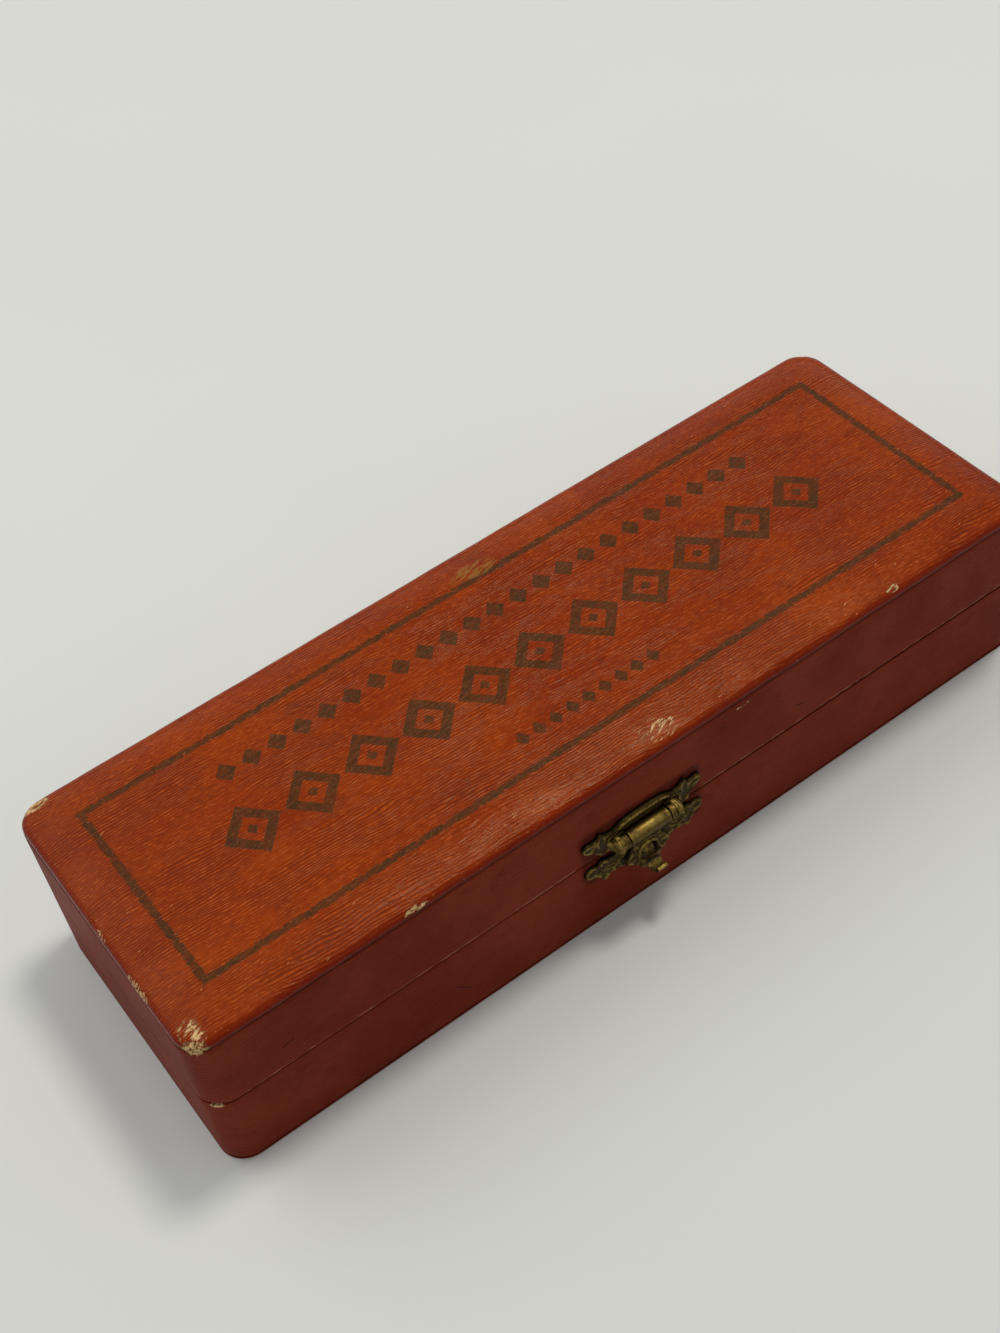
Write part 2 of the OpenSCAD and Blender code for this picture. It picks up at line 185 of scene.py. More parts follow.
# Stamped ornament on the lid, in millimetres: a border line and three rows of lozenges
stamp = {
    "borderLong": 71.8, "borderWide": 19.05, "lineHalf": 0.6, "lineRagged": 1.3,
    "linkPitch": 4.7, "linkRagged": 1.6, "linkNarrowing": 0.34,
    "rows": [
        {"y": -0.75, "reach": 58.3, "pitch": 10.6, "long": 5.0, "tall": 5.4, "hollow": 0.54},
        {"y": 11.3, "reach": 50.6, "pitch": 4.6, "long": 1.8, "tall": 2.1, "hollow": 0.0},
        {"y": -13.3, "reach": 14.2, "pitch": 3.15, "long": 1.2, "tall": 1.5, "hollow": 0.0},
    ],
    "eye": 0.2, "softEdge": 0.14, "ragged": 0.6, "ink": ink(58, 38, 16), "worn": ink(112, 74, 34),
}

# Worn places on the covering, in millimetres: middle, half sizes, how ragged, how frayed, and
# how much of the paper is left in them
chipKeys = ("at", "size", "ragged", "frayed", "kept")
chipRows = [
    ((-79.4, -27.0, 30.9), (2.9, 2.2, 1.5), 1.6, 2.4, 0.33),
    ((-77.6, -25.2, 32.4), (2.3, 3.2, 2.0), 1.8, 3.0, 0.5),
    ((-79.9, -13.0, 31.4), (0.9, 3.4, 0.8), 1.8, 2.0, 0.46),
    ((-79.9, -1.5, 31.6), (0.8, 2.0, 0.6), 1.8, 2.0, 0.5),
    ((3.9, -24.9, 32.3), (3.4, 2.2, 3.0), 2.2, 1.5, 0.53),
    ((-76.6, 26.4, 32.0), (2.7, 1.4, 2.5), 1.6, 2.4, 0.42),
    ((79.2, -26.0, 32.0), (1.4, 1.7, 2.5), 1.2, 2.0, 0.0),
    ((78.6, 26.6, 31.5), (1.5, 1.2, 2.5), 1.2, 2.0, 0.0),
    ((-42.0, -27.3, 31.3), (2.2, 0.9, 0.5), 1.4, 2.0, 0.42),
    ((50.0, -26.9, 32.0), (1.4, 0.9, 0.5), 1.4, 2.0, 0.42),
    ((-79.2, -26.6, 15.75), (1.6, 1.4, 0.5), 1.2, 1.4, 0.4),
    ((79.4, -25.8, 15.9), (0.9, 1.3, 0.6), 0.7, 1.0, 0.0),
    ((18.4, -27.5, 28.9), (1.5, 0.9, 0.35), 1.0, 1.6, 0.5),
]
chips = [dict(zip(chipKeys, row)) for row in chipRows]
tornInks = {"dark": ink(96, 74, 40), "pale": ink(222, 182, 128), "stained": ink(124, 54, 22)}


def chipMask(xyz, chip, ragged, strands):
    parts = [(p - middle) / half for p, middle, half in zip(xyz, chip["at"], chip["size"])]
    reach = parts[0] * parts[0] + parts[1] * parts[1] + parts[2] * parts[2]
    edge = reach + (ragged - 0.5) * chip["ragged"] + (strands - 0.5) * chip["frayed"]
    mask = edge.fall(0.8, 1.0)
    if chip["kept"]:
        mask = mask * strands.rise(chip["kept"], chip["kept"] + 0.07)
    return mask


# Where the paper is torn between two heights, and the colour of the fibres that show there
def tornPaper(finish, where, xyz, low, high):
    x, y, z = xyz
    ragged = finish.grains(where, 0.9, 4.0, 0.68)
    strands = finish.streaks(x * 0.5, (y - x * 0.3) * 2.4, z * 1.9, 3.0, 0.7)
    total = None
    for chip in chips:
        if low <= chip["at"][2] <= high:
            mask = chipMask(xyz, chip, ragged, strands)
            total = mask if total is None else total.most(mask)
    fibre = finish.mix(strands.rise(0.36, 0.58), tornInks["dark"], tornInks["pale"])
    fibre = finish.mix(ragged.rise(0.56, 0.64) * 0.75, fibre, tornInks["stained"])
    return total, fibre, strands


def lozengeRow(x, y, row, ragged):
    middle = row["reach"] - row["reach"] % row["pitch"]
    across = abs(x.repeat(row["pitch"])) / row["long"]
    up = abs(y - row["y"]) / row["tall"]
    reach = across + up + (ragged - 0.5) * (stamp["ragged"] / row["tall"])
    soft = stamp["softEdge"] / row["tall"]
    mask = reach.fall(1 - soft, 1 + soft)
    if row["hollow"]:
        mask = mask * reach.rise(row["hollow"] - soft, row["hollow"] + soft)
        mask = mask.most(reach.fall(stamp["eye"] - soft, stamp["eye"] + soft))
    end = middle + row["pitch"] * 0.5
    return mask * abs(x).fall(end - 0.05, end)


def stampMask(x, y, ragged):
    slanted = x + y + (ragged - 0.5) * stamp["linkRagged"]
    links = abs(slanted.repeat(stamp["linkPitch"])) / stamp["linkPitch"]
    narrowed = links.rise(0.4, 0.5) * stamp["linkNarrowing"]
    edge = (abs(x) - stamp["borderLong"]).most(abs(y) - stamp["borderWide"])
    half = stamp["lineHalf"]
    line = abs(edge) + (ragged - 0.5) * stamp["lineRagged"] + narrowed
    mask = line.fall(half - 0.08, half + 0.16)
    for row in stamp["rows"]:
        mask = mask.most(lozengeRow(x, y, row, ragged))
    return mask


# Grain of the covering: fine ridges along the case, which wander, fade and break off
def ridgedGrain(finish, x, across, other, pitch):
    drift = finish.streaks(x * 0.07, across * 0.2, other * 0.2, 2.0, 0.5)
    wavy = across + (drift - 0.5) * 2.6
    lines = (wavy * (2 * math.pi / pitch)).maths("SINE") * 0.5 + 0.5
    threads = finish.streaks(x * 0.9, wavy * 3.2, other * 3.2, 3.0, 0.65)
    strength = finish.streaks(x * 0.07, across * 0.12, other * 0.12, 4.0, 0.6)
    waves = finish.streaks(x * 0.24, wavy * 1.25, other * 1.25, 3.0, 0.6)
    return lines, threads, strength.rise(0.38, 0.6), waves


topPaper = {
    "shader": {"Specular IOR Level": 0.12, "Specular Tint": (1.0, 0.8, 0.5, 1.0)},
    "rough": 0.24, "ridgePitch": 0.52, "ridgeSlant": 0.05, "relief": 0.11,
    "deep": ink(138, 44, 2), "light": ink(155, 58, 4), "smudge": ink(104, 35, 6),
    "valleyShade": ink(86, 21, 2), "thread": ink(102, 28, 4), "ridgeHighlight": ink(200, 98, 30),
    "roll": ink(114, 15, 3), "crease": ink(50, 8, 2), "fleck": ink(216, 152, 100),
    "rubbed": ink(146, 100, 46), "rubbedAt": (2.7, 21.0), "rubbedSize": (4.8, 2.0),
}


def topCovering(look):
    finish = Finish("topCovering", look["shader"])
    where, (x, y, z) = finish.places()
    across = y + x * look["ridgeSlant"]
    lines, threads, present, waves = ridgedGrain(finish, x, across, z, look["ridgePitch"])
    blotch = finish.grains(where, 0.045, 4.0, 0.6)
    smudge = finish.grains(where, 0.16, 5.0, 0.65)
    ragged = finish.grains(where, 2.2, 3.0, 0.65)
    torn, fibre, strands = tornPaper(finish, where, (x, y, z), 30, 34)
    stamped = stampMask(x, y, ragged)

    finish.colour = finish.mix(blotch.rise(0.32, 0.66), look["deep"], look["light"])
    finish.coat(smudge.rise(0.54, 0.74) * 0.55, look["smudge"])
    # Painted shade in the grain's valleys
    finish.coat(lines.fall(0, 0.6) * (present * 0.56 + 0.14), look["valleyShade"])
    finish.coat(threads.fall(0.36, 0.5) * 0.42, look["thread"])
    # Painted highlight along the grain's ridges
    finish.coat(threads.rise(0.5, 0.64) * lines.rise(0.4, 0.9) * 0.4, look["ridgeHighlight"])
    roll = z - crease / mm
    finish.coat(roll.fall(0.35, 1.5) * 0.85, look["roll"])
    # Painted shade: a dark line at the crease under the roll
    finish.coat(roll.fall(-0.3, 0.06) * 0.7, look["crease"])

    pressed = strands.fall(0.4, 0.56) * 0.26 + 0.68
    finish.coat(stamped * pressed * (smudge.fall(0.5, 0.75) * 0.2 + 0.8), stamp["ink"])
    finish.coat(stamped * ragged.rise(0.54, 0.66) * 0.5, stamp["worn"])
    dashes = finish.streaks(x * 0.7, (y - x * 0.3) * 3.0, z * 3.0, 2.0, 0.5)
    nearEdge = (abs(y) - 15).rise(0, 10).most((abs(x) - 60).rise(0, 18))
    finish.coat(dashes.rise(0.725, 0.76) * (nearEdge * 0.8 + 0.1), look["fleck"])
    spotX = (x - look["rubbedAt"][0]) / look["rubbedSize"][0]
    spotY = (y - look["rubbedAt"][1]) / look["rubbedSize"][1]
    spot = (spotX * spotX + spotY * spotY + (smudge - 0.5) * 2.4).fall(0.6, 1.1)
    finish.coat(spot * strands.rise(0.44, 0.54) * 0.8, look["rubbed"])
    finish.coat(torn, fibre)

    rough = look["rough"] + (threads - 0.5) * 0.3 + torn * 0.5 + stamped * 0.12
    rough = rough + smudge.rise(0.55, 0.75) * 0.1
    ridges = lines * (present * 0.34 + 0.12) + threads * 0.5 + waves * 1.5
    height = ridges - stamped * 0.35 + ragged * 0.12 - torn * (1.4 - strands)
    return finish.done(rough, height, look["relief"], 0.8)


sidePaper = {
    "shader": {"Specular IOR Level": 0.04}, "rough": 0.5, "ridgePitch": 0.62, "relief": 0.12,
    "deep": ink(110, 37, 19), "light": ink(125, 47, 28), "smudge": ink(98, 31, 13),
    "valleyShade": ink(80, 22, 8), "thread": ink(168, 92, 66), "gap": ink(80, 24, 10),
    "rubbed": ink(186, 122, 98), "gapShade": ink(24, 6, 3), "crease": ink(38, 10, 4),
    "latchShade": ink(34, 12, 6), "scratch": ink(30, 8, 4),
    # Scratches on the front: middle x and z, slant in degrees, half length
    "scratches": [
        (-37.6, 6.6, -47, 1.9), (14.3, 26.8, -8, 0.8),
        (29.8, 20.3, -16, 1.1), (-66.0, 21.0, 12, 1.3),
    ],
}


def sideCovering(look):
    finish = Finish("sideCovering", look["shader"])
    where, (x, y, z) = finish.places()
    lines, threads, present, waves = ridgedGrain(finish, x, z, y * 0.2, look["ridgePitch"])
    blotch = finish.grains(where, 0.06, 4.0, 0.6)
    smudge = finish.grains(where, 0.25, 5.0, 0.7)
    patches = finish.grains(where, 0.5, 3.0, 0.6)
    torn, fibre, strands = tornPaper(finish, where, (x, y, z), 0, 34)

    finish.colour = finish.mix(blotch.rise(0.35, 0.65), look["deep"], look["light"])
    finish.coat(smudge.rise(0.5, 0.75) * 0.5, look["smudge"])
    # Painted shade in the grain's valleys
    finish.coat(lines.fall(0, 0.5) * (present * 0.34 + 0.06), look["valleyShade"])
    finish.coat(threads.rise(0.56, 0.7) * 0.14, look["thread"])
    finish.coat(threads.fall(0.3, 0.42) * 0.3, look["gap"])

    # The lid's rim is rubbed pale, partly with a painted highlight; painted shade fills the seam,
    # the line under the roll and the case round the latch
    end, side = halfLength / mm, halfWidth / mm
    outside = (abs(y) - (side - 0.5)).most(abs(x) - (end - 0.5)).rise(0, 0.3)
    # A pale rub along the lid's rim, partly wear and partly painted highlight, strongest on the
    # left end
    rim = abs(z - (lidRim / mm + 0.28)).fall(0.08, 0.32) * patches.rise(0.42, 0.62) * outside
    finish.coat(rim * ((x * -1).rise(end - 0.6, end - 0.1) * 0.4 + 0.4), look["rubbed"])
    # Painted shade in the seam's gap, stronger to the right where it opens
    seam = abs(z - (baseRim / mm + 0.03)).fall(0.06, 0.2) * outside
    finish.coat(seam * (x.rise(-20, 50) * 0.6 + 0.2), look["gapShade"])
    # Painted shade just under the roll's edge
    under = z - (crease - coverThickness) / mm
    finish.coat(under.rise(-0.5, -0.1) * 0.6, look["crease"])
    # Painted shade on the case round the latch, beside and between its plates
    aside = abs(x - latchX / mm).fall(10.2, 13.0)
    level = abs(z - (latchZ / mm - 1.4)).fall(5.0, 7.2)
    latchShade = (aside * level + (smudge - 0.5) * 0.6).rise(0.15, 0.9) * y.fall(0.5 - side, 1 - side)
    finish.coat(latchShade * 0.55, look["latchShade"])
    for middle, height, slant, half in look["scratches"]:
        cos, sin = math.cos(math.radians(slant)), math.sin(math.radians(slant))
        along = abs((x - middle) * cos + (z - height) * sin).fall(half - 0.5, half)
        away = abs((z - height) * cos - (x - middle) * sin).fall(0.05, 0.2)
        finish.coat(along * away * y.fall(-27.0, -26.5) * 0.75, look["scratch"])
    finish.coat(torn, fibre)

    rough = look["rough"] + (threads - 0.5) * 0.3 + torn * 0.35
    rough = rough + smudge.rise(0.55, 0.75) * 0.08
    ridges = lines * (present * 0.25 + 0.1) + threads * 0.6 + waves * 0.6
    height = ridges + patches * 0.5 - torn * 1.4
    return finish.done(rough, height, look["relief"], 0.7)


brass = {
    "deep": ink(58, 45, 21), "bright": ink(180, 150, 76), "green": ink(86, 76, 38),
    "pit": ink(38, 28, 14), "gapShade": ink(14, 10, 6), "rough": 0.52, "relief": 0.08,
}


# The points' raised value brightens what stands up, and darkens what lies below zero with painted
# shade
def agedBrass():
    finish = Finish("agedBrass", {"Metallic": 1.0})
    where, (x, y, z) = finish.places()
    raised = finish.add("Attribute", {"attribute_name": "raised"}, out="Fac")
    patina = finish.grains(where, 0.8, 5.0, 0.65)
    pits = finish.grains(where, 2.6, 4.0, 0.65)
    scuffs = finish.streaks(x * 0.5, y * 6, z * 6, 2.0, 0.5)
    turned = raised.rise(0.9, 1.1)  # the barrel gets a painted highlight above and painted shade below
    polishAndHighlight = turned * (z - latchZ / mm).rise(0.3, 1.15)
    bright = (raised * 0.62 + (patina - 0.5) * 1.2 + (pits - 0.5) * 0.9).rise(0.18, 1.15)
    bright = (bright * (1 - turned * 0.75)).most(polishAndHighlight * (0.5 + (patina - 0.5) * 1.6))
    finish.colour = finish.mix(bright, brass["deep"], brass["bright"])
    finish.coat(patina.rise(0.52, 0.68) * 0.4, brass["green"])
    finish.coat(pits.fall(0.3, 0.46) * (0.7 - polishAndHighlight * 0.4), brass["pit"])
    # Painted shade at the plates' foot, where they stand off the case
    finish.coat(raised.fall(-0.45, -0.05) * 0.9, brass["gapShade"])
    rough = brass["rough"] - bright * 0.16 + (pits - 0.5) * 0.3
    return finish.done(rough, pits * 0.7 + scuffs * 0.3, brass["relief"], 0.7)


def dullSteel():
    finish = Finish("dullSteel", {"Metallic": 1.0})
    where, (x, y, z) = finish.places()
    lines = finish.streaks(x * 8, y * 1.5, z * 1.5, 3.0, 0.6)
    stain = finish.grains(where, 1.4, 4.0, 0.6)
    finish.colour = finish.mix(stain.rise(0.45, 0.7), ink(150, 140, 118), ink(88, 66, 42))
    return finish.done(0.36 + stain * 0.3, lines, 0.03, 0.5)


def rawWood():
    finish = Finish("rawWood", {})
    where, (x, y, z) = finish.places()
    bend = finish.grains(where, 0.05, 2.0, 0.5)
    rings = finish.streaks(x * 0.05, y * 0.9, (z + bend * 5) * 0.9, 3.0, 0.6)
    pores = finish.streaks(x * 0.6, y * 5, z * 5, 2.0, 0.6)
    finish.colour = finish.mix(rings.rise(0.38, 0.64), ink(204, 168, 120), ink(164, 118, 72))
    finish.coat(pores.rise(0.6, 0.72) * 0.5, ink(112, 74, 42))
    return finish.done(0.66 + pores * 0.15, rings + pores, 0.06, 0.5)


def pileCloth(name, dark, light, pile):
    finish = Finish(name, {"Sheen Weight": 0.35, "Sheen Roughness": 0.4})
    where = finish.places()[0]
    tufts = finish.grains(where, pile, 3.0, 0.7)
    stroke = finish.grains(where, 0.06, 3.0, 0.55, 0.6)
    wornAway = finish.grains(where, 0.18, 4.0, 0.6)
    deep = (*[c * 0.45 for c in dark[:3]], 1.0)
    pale = (*[min(1, c * 1.8) for c in light[:3]], 1.0)
    finish.colour = finish.mix(stroke.rise(0.3, 0.7), dark, light)
    finish.coat(tufts.fall(0.35, 0.55) * 0.5, deep)
    finish.coat(wornAway.rise(0.62, 0.8) * 0.2, pale)
    return finish.done(0.82 + tufts * 0.16, tufts + stroke * 0.6, 0.25, 0.6)


# One finish for each of the record's material slots
finishes = {
    "top_covering": topCovering(topPaper), "side_covering": sideCovering(sidePaper),
    "aged_brass": agedBrass(), "pin_steel": dullSteel(), "wood": rawWood(),
    "lining_cloth": pileCloth("liningCloth", ink(78, 15, 25), ink(94, 20, 32), 2.6),
    "pad_cloth": pileCloth("padVelvet", ink(94, 16, 30), ink(114, 24, 40), 2.0),
}
print("materials made")


weld = 0.002 * mm  # points closer than this are one


def vertsOf(parts):
    return [g for g in parts if isinstance(g, bmesh.types.BMVert)]


def edgesOf(parts):
    return [g for g in parts if isinstance(g, bmesh.types.BMEdge)]


def addObject(name, data):
    made = bpy.data.objects.new(name, data)
    scene.collection.objects.link(made)
    return made


def addMesh(bm, name, material):
    mesh = bpy.data.meshes.new(name)
    bm.to_mesh(mesh)
    bm.free()
    mesh.materials.append(material)
    return addObject(name, mesh)


# Turns a bmesh into a piece that rides on a body and stands for CAD nodes
def makePiece(bm, name, body, slot, nodes, sharp=50.0):
    bmesh.ops.remove_doubles(bm, verts=bm.verts, dist=weld)
    bmesh.ops.recalc_face_normals(bm, faces=bm.faces)
    for face in bm.faces:
        face.smooth = True
    for edge in bm.edges:
        if len(edge.link_faces) == 2 and edge.calc_face_angle(0) > math.radians(sharp):
            edge.smooth = False
    piece = addMesh(bm, name, finishes[slot])
    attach(piece, body)
    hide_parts(*nodes)
    return piece


def wander(x, y, z, reach, seed):  # smooth noise about 0.5, with features of about reach
    return 0.5 + 0.5 * noise.noise(Vector((x / reach + seed, y / reach, z / reach)))


# The case's outline, and how finely it is divided
shell = {
    "corner": 4.5 * mm, "leastCorner": 0.8 * mm,
    "cornerSteps": 10, "longSteps": 56, "shortSteps": 18,
}


def outlinePlaces(long, wide, corner):
    places = []
    front, end = (long, shell["longSteps"]), (wide, shell["shortSteps"])
    turns = [(1, 1, 0, front), (-1, 1, 90, end), (-1, -1, 180, front), (1, -1, 270, end)]
    for sideX, sideY, start, (half, steps) in turns:
        for i in range(shell["cornerSteps"] + 1):
            a = math.radians(start + 90 * i / shell["cornerSteps"])
            x = sideX * (long - corner) + corner * math.cos(a)
            y = sideY * (wide - corner) + corner * math.sin(a)
            places.append((x, y))
        turn = math.radians(start + 90)
        for i in range(1, steps):
            reach = 2 * (half - corner) * i / steps
            places.append((x - math.sin(turn) * reach, y + math.cos(turn) * reach))
    return places


# One closed loop: the outline drawn in by an inset, at one height
def ringPlaces(inset, height, long, wide, corner):
    corner = max(corner - inset, shell["leastCorner"])
    places = outlinePlaces(long - inset, wide - inset, corner)
    return [Vector((x, y, height)) for x, y in places]


# A surface through rings that follow a section of insets and heights, with its end edges
def sweepRings(section, long=halfLength, wide=halfWidth, corner=shell["corner"]):
    bm = bmesh.new()
    rings = [ringPlaces(inset, height, long, wide, corner) for inset, height in section]
    verts = bmesh.ops.create_circle(bm, segments=len(rings[0]), radius=1)["verts"]
    for v, place in zip(verts, rings[0]):
        v.co = place
    firstEdges = edges = bm.edges[:]
    for previous, ring in zip(rings, rings[1:]):
        order = {tuple(place): i for i, place in enumerate(previous)}
        made = bmesh.ops.extrude_edge_only(bm, edges=edges)["geom"]
        edges = [e for e in edgesOf(made) if e.is_boundary]
        for v in {v for e in edges for v in e.verts}:
            v.co = ring[order[tuple(v.co)]]
    return bm, firstEdges, edges


# Where a point of a rectangle's rim goes when its corners are rounded
def roundedPlace(x, y, long, wide, corner):
    overX = abs(x) - (long - corner)
    overY = abs(y) - (wide - corner)
    if overX <= 0 or overY <= 0:
        return x, y
    if overX >= overY:
        angle = math.radians(45) * overY / corner
    else:
        angle = math.radians(90) - math.radians(45) * overX / corner
    newX = long - corner + corner * math.cos(angle)
    newY = wide - corner + corner * math.sin(angle)
    return math.copysign(newX, x), math.copysign(newY, y)


# A filled form, with both ends closed
def stackedForm(section, *sizes):
    bm, firstEdges, lastEdges = sweepRings(section, *sizes)
    for edges in (firstEdges, lastEdges):
        bmesh.ops.contextual_create(bm, geom=edges)
    return bm


# The domed top, as a fine sheet with a turned-down edge
top = {
    "innerCorner": 3.2 * mm, "margin": 8.0 * mm, "roll": 1.8 * mm, "rollShare": 0.62,
    "rollSteps": 9, "step": 0.45 * mm, "calmEdge": 1.2 * mm, "unevenness": 0.1 * mm,
    "pebble": 0.03 * mm, "sway": 0.16 * mm, "chipDepth": 0.2 * mm, "leastKept": 0.4,
}


def stations(half):  # distances from the edge, close together in the roll
    steps = top["rollSteps"]
    near = [top["roll"] * (1 - math.cos(math.radians(90 * i / steps))) for i in range(steps + 1)]
    count = round((half - top["roll"]) / top["step"])
    far = [top["roll"] + (half - top["roll"]) * i / count for i in range(1, count + 1)]
    left = [-half + d for d in near + far]
    return left + [-p for p in reversed(left[:-1])]


def topHeight(depth):
    rise = topHigh.z - crease
    if depth < top["roll"]:
        turn = math.acos(1 - depth / top["roll"])
        return crease + rise * top["rollShare"] * math.sin(turn)
    part = min(1, (depth - top["roll"]) / (top["margin"] - top["roll"]))
    return crease + rise * (top["rollShare"] + (1 - top["rollShare"]) * (1 - (1 - part) ** 2))


def chipDepth(x, y, z):
    sunk = 0
    for chip in chips:
        if chip["kept"] > top["leastKept"]:  # only the surface is scuffed
            continue
        sides = zip((x, y, z), chip["at"], chip["size"])
        reach = sum(((p / mm - middle) / half) ** 2 for p, middle, half in sides)
        sunk = max(sunk, top["chipDepth"] * max(0, min(1, (1.15 - reach) / 0.35)))
    return sunk


def domedTop():
    across, along = stations(halfLength), stations(halfWidth)
    lastX, lastY = len(across) - 1, len(along) - 1
    bm = bmesh.new()
    bmesh.ops.create_grid(bm, x_segments=lastX, y_segments=lastY, size=1)
    for v in bm.verts:
        x = across[round((v.co.x + 1) / 2 * lastX)]
        y = along[round((v.co.y + 1) / 2 * lastY)]
        depth = min(halfLength - abs(x), halfWidth - abs(y))
        share = min(1, depth / top["margin"])
        corner = shell["corner"] + (top["innerCorner"] - shell["corner"]) * share
        corner = min(corner, halfWidth - depth)
        if corner > 0.01 * mm:
            x, y = roundedPlace(x, y, halfLength - depth, halfWidth - depth, corner)
        z = topHeight(depth)
        calm = min(1, depth / top["calmEdge"])
        z -= top["unevenness"] * calm * wander(x, y, 0, 14 * mm, 3.1)
        z -= top["pebble"] * calm * wander(x / 3, y, 0, 1.1 * mm, 9.7)
        z -= chipDepth(x, y, z) * calm
        sway = top["sway"] * max(0, 1 - depth / top["roll"]) * wander(x, y, z, 7 * mm, 6.1)
        x -= math.copysign(sway, x) * (halfLength - abs(x) < top["roll"])
        y -= math.copysign(sway, y) * (halfWidth - abs(y) < top["roll"])
        v.co = (x, y, z)
    rim = [e for e in bm.edges if e.is_boundary]
    turned = bmesh.ops.extrude_edge_only(bm, edges=rim)["geom"]
    bmesh.ops.translate(bm, verts=vertsOf(turned), vec=(0, 0, -coverThickness))
    bmesh.ops.solidify(bm, geom=bm.faces[:], thickness=coverThickness * 0.9)
    return bm


# The wrap of one half: straight sides, a fold over the rim, and its inner edge
wrap = {
    "fold": 0.22 * mm, "foldTurns": (0.52, 1.05, 1.57), "groove": 0.2 * mm, "closer": 0.06 * mm,
    "sideSteps": 12, "wallThickness": 4.4 * mm, "sway": 0.05 * mm, "edgeSway": 0.04 * mm,
    "gape": 0.13 * mm, "rimReach": 1.6 * mm, "skin": 0.2 * mm,
    "wornReach": 6.5 * mm, "lidLift": 0.75 * mm, "baseDrop": 0.22 * mm,
}


def wrapSection(far, rim, into):  # far is the end away from the rim
    fold, deep, thickness = wrap["fold"], wrap["wallThickness"], coverThickness
    steps = wrap["sideSteps"]
    start = rim + into * fold
    sides = [(wrap["groove"], far), (wrap["groove"], far - into * wrap["groove"] * 0.6)]
    sides += [(0, far + (start - far) * max(i, 0.3) / steps) for i in range(steps + 1)]
    turns = [(1 - math.cos(a), 1 - math.sin(a)) for a in wrap["foldTurns"]]
    turn = [(fold * across, rim + into * fold * up) for across, up in turns]
    flat = [(deep * 0.5, rim), (deep - fold, rim), (deep - fold * 0.3, rim + into * fold * 0.3)]
    inner = rim + into * thickness
    inside = [(deep, rim + into * fold), (deep, inner), (thickness, inner), (thickness, far)]
    return sides + turn + flat + inside


# The seam opens at the worn front left corner and to the right, and the paper sways
def wornWrap(far, rim):
    into = 1 if far > rim else -1
    section = wrapSection(far, rim, into)
    bm = sweepRings(section + section[:1])[0]
    for v in bm.verts:
        x, y, z = v.co
        near = 1 - min(1, abs(z - rim) / wrap["rimReach"])
        corner = max(0, 1 - math.hypot(x + halfLength, y + halfWidth) / wrap["wornReach"])
        worn = wrap["lidLift"] * corner ** 1.3 if into > 0 else wrap["baseDrop"] * corner
        gape = wrap["gape"] * max(0, min(1, 0.25 + x / halfLength))
        gape += wrap["edgeSway"] * wander(x, y, 0, 6 * mm, 1.7 + into)
        v.co.z += into * near * (worn + gape)
        sway = wrap["sway"] * wander(x, y, z, 12 * mm, 5.3)
        v.co.x -= math.copysign(sway, x) * (halfLength - abs(x) < wrap["skin"])
        v.co.y -= math.copysign(sway, y) * (halfWidth - abs(y) < wrap["skin"])
    return bm


lidWrap = wornWrap(crease - coverThickness, lidRim - wrap["closer"])
baseWrap = wornWrap(coverThickness, baseRim + wrap["closer"])
under = stackedForm([(0.5 * mm, 0), (0.2 * mm, 0.06 * mm), (0, 0.2 * mm), (0, coverThickness)])
makePiece(domedTop(), "topSheet", "lid", "top_covering", ["lid_top_cover"])
makePiece(lidWrap, "lidWrap", "lid", "side_covering", ["lid_side_cover"])
makePiece(baseWrap, "baseWrap", "base", "side_covering", ["base_cover"])
makePiece(under, "underSheet", "base", "side_covering", ["bottom_cover"])
print("covering made")


# Lining trays and velvet pads
lined = {"thickness": 0.5 * mm, "roundness": 0.18 * mm, "corner": 1.0 * mm}
padShape = {
    "crown": 1.0 * mm, "draw": 0.8 * mm, "corner": 3.52 * mm,
    "dent": 0.22 * mm, "dentReach": 17 * mm,
}


def liningTray(node, upward):
    low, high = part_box(node)
    long, wide, thick = high.x, high.y, lined["thickness"]
    floor, mouth = (low.z, high.z) if upward > 0 else (high.z, low.z)
    soft = lined["roundness"]
    shoulder, neck = mouth - upward * soft, mouth - upward * soft * 0.3
    near, away = thick + soft * 0.6, thick + soft * 2
    section = [
        (0, floor), (0, shoulder), (soft * 0.4, neck), (thick / 2, mouth),
        (thick - soft * 0.4, neck), (thick, shoulder), (thick, floor + upward * away),
        (near, floor + upward * near), (away, floor + upward * thick),
    ]
    return stackedForm(section, long, wide, lined["corner"])


def padForm(node, upward, seed):
    low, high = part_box(node)
    floor = low.z if upward > 0 else high.z
    edge = high.z - low.z - padShape["crown"]
    draw = padShape["draw"]
    sides = [(1, 0), (0.45, 0.12), (0.12, 0.3), (0, 0.5), (0.12, 0.72), (0.5, 0.92)]
    crowned = [
        (1.2, 0.12), (2.4, 0.36), (4.2, 0.62), (7, 0.82), (11, 0.94), (16, 1), (22, 1), (26, 1),
    ]
    section = [(draw * inset, edge * share) for inset, share in sides]
    section += [(draw * inset, edge + padShape["crown"] * share) for inset, share in crowned]
    levels = [(inset, floor + upward * height) for inset, height in section]
    bm = stackedForm(levels, high.x, high.y, padShape["corner"])
    for v in bm.verts:
        above = abs(v.co.z - floor)
        if above > 0.3 * mm:
            dent = padShape["dent"] * wander(v.co.x, v.co.y, 0, padShape["dentReach"], seed)
            v.co.z -= upward * dent * min(1, above / edge)
    return bm


for half, upward in (("base", 1), ("lid", -1)):
    node = half + "_lining"
    tray = liningTray(node, upward)
    makePiece(tray, half + "Lining", half, "lining_cloth", [node], sharp=40)
for half, upward, seed in (("base", 1, 2.3), ("lid", -1, 7.9)):
    node = half + "_pad"
    form = padForm(node, upward, seed)
    pad = makePiece(form, half + "Pad", half, "pad_cloth", [node], sharp=40)
print("lining and pads made")


